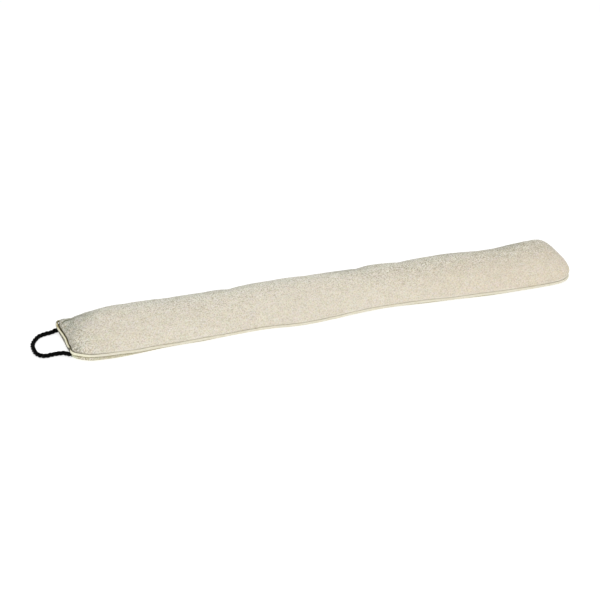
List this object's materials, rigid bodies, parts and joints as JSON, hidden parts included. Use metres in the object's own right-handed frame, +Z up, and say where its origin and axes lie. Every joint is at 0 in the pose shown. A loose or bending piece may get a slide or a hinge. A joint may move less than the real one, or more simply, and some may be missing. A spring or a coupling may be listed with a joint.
{
  "type": "draught excluder",
  "caption": "Long stuffed door draught excluder with a beige short-pile cover, cream corded edging round its seam and a black twisted rope loop at one end.",
  "frame": {"origin": "on the floor under the middle of the cover and its piping, the rope loop left out", "axes": "+X along the length from the rope loop's end to the plain end, +Y to the back, +Z up from the floor"},
  "size_m": [0.9538, 0.1371, 0.0469],
  "materials": {
    "cover_cloth": "short soft pile, matt",
    "piping_cloth": "woven corded edging, matt",
    "rope_fibre": "twisted three-strand rope, slight sheen"
  },
  "bodies": {
    "root": {"filled_cover": "cover_cloth", "piping": "piping_cloth", "rope_loop": "rope_fibre"}
  },
  "joints": []
}
